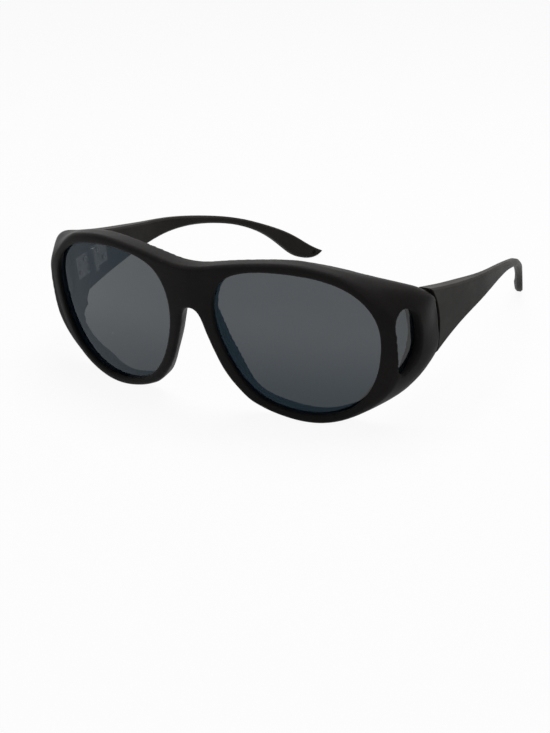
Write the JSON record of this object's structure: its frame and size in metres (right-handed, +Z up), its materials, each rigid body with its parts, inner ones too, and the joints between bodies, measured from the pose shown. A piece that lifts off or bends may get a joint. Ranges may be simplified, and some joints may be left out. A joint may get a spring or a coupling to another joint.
{
  "type": "fitover sunglasses",
  "caption": "Wrap fitover sunglasses with a deep black shell, large smoke lenses, small side windows and drooping temples that fold on metal hinges.",
  "frame": {"origin": "on the surface the glasses stand on, under the middle of their outline", "axes": "+Z up, -Y the way the lenses face, +X towards the temple whose nodes are named right, which is on the right seen from the front"},
  "size_m": [0.1416, 0.1724, 0.0553],
  "materials": {
    "frame": "satin",
    "temple": "satin",
    "lens": "polished",
    "side_lens": "polished",
    "hinge": "satin",
    "screw": "polished"
  },
  "bodies": {
    "front": {"front_frame": "frame", "lens_left": "lens", "lens_right": "lens", "side_lens_left": "side_lens", "side_lens_right": "side_lens", "front_leaf_left": "hinge", "front_leaf_right": "hinge", "hinge_screw_left": "screw", "hinge_screw_right": "screw", "front_leaf_screw_upper_left": "screw", "front_leaf_screw_upper_right": "screw", "front_leaf_screw_lower_left": "screw", "front_leaf_screw_lower_right": "screw"},
    "temple_left": {"temple_left": "temple", "temple_leaf_left": "hinge", "temple_leaf_screw_upper_left": "screw", "temple_leaf_screw_lower_left": "screw"},
    "temple_right": {"temple_right": "temple", "temple_leaf_right": "hinge", "temple_leaf_screw_upper_right": "screw", "temple_leaf_screw_lower_right": "screw"}
  },
  "joints": [
    {"name": "fold_right", "type": "hinge", "parent": "front", "child": "temple_right", "pos_m": [0.06375, -0.04821, 0.03351], "axis": [0, -0.1544, 0.988], "range_deg": [0, 90]},
    {"name": "fold_left", "type": "hinge", "parent": "front", "child": "temple_left", "pos_m": [-0.06375, -0.04821, 0.03351], "axis": [0, 0.1544, -0.988], "range_deg": [0, 84]}
  ]
}
